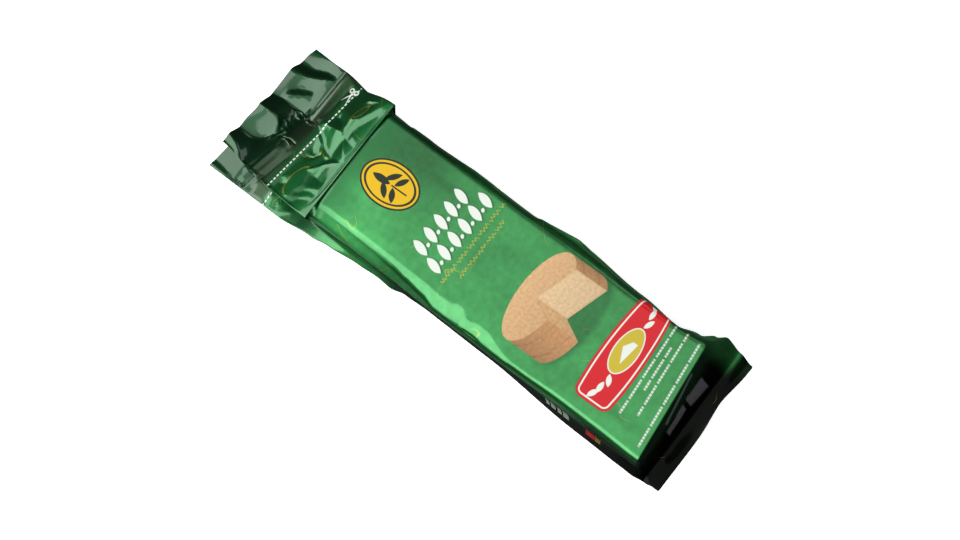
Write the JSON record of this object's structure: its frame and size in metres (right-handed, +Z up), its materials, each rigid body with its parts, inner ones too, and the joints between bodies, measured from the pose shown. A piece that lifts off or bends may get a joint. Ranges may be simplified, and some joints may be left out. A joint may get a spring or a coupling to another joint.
{
  "type": "foil vacuum pack of hard cheese",
  "caption": "Long block of hard cheese shut in a green foil vacuum bag with side gussets, a creased header above it and a short sealed fin at its foot.",
  "frame": {"origin": "middle of the pack's footprint, on the surface it lies on", "axes": "+X across the pack, +Y along it from the foot fin to the header, +Z up out of its front panel"},
  "size_m": [0.0974, 0.3174, 0.0588],
  "materials": {
    "foil": "glossy metallised green film with a plain print, darker green on the header and sides"
  },
  "bodies": {
    "root": {"foil_pack": "foil"}
  },
  "joints": []
}
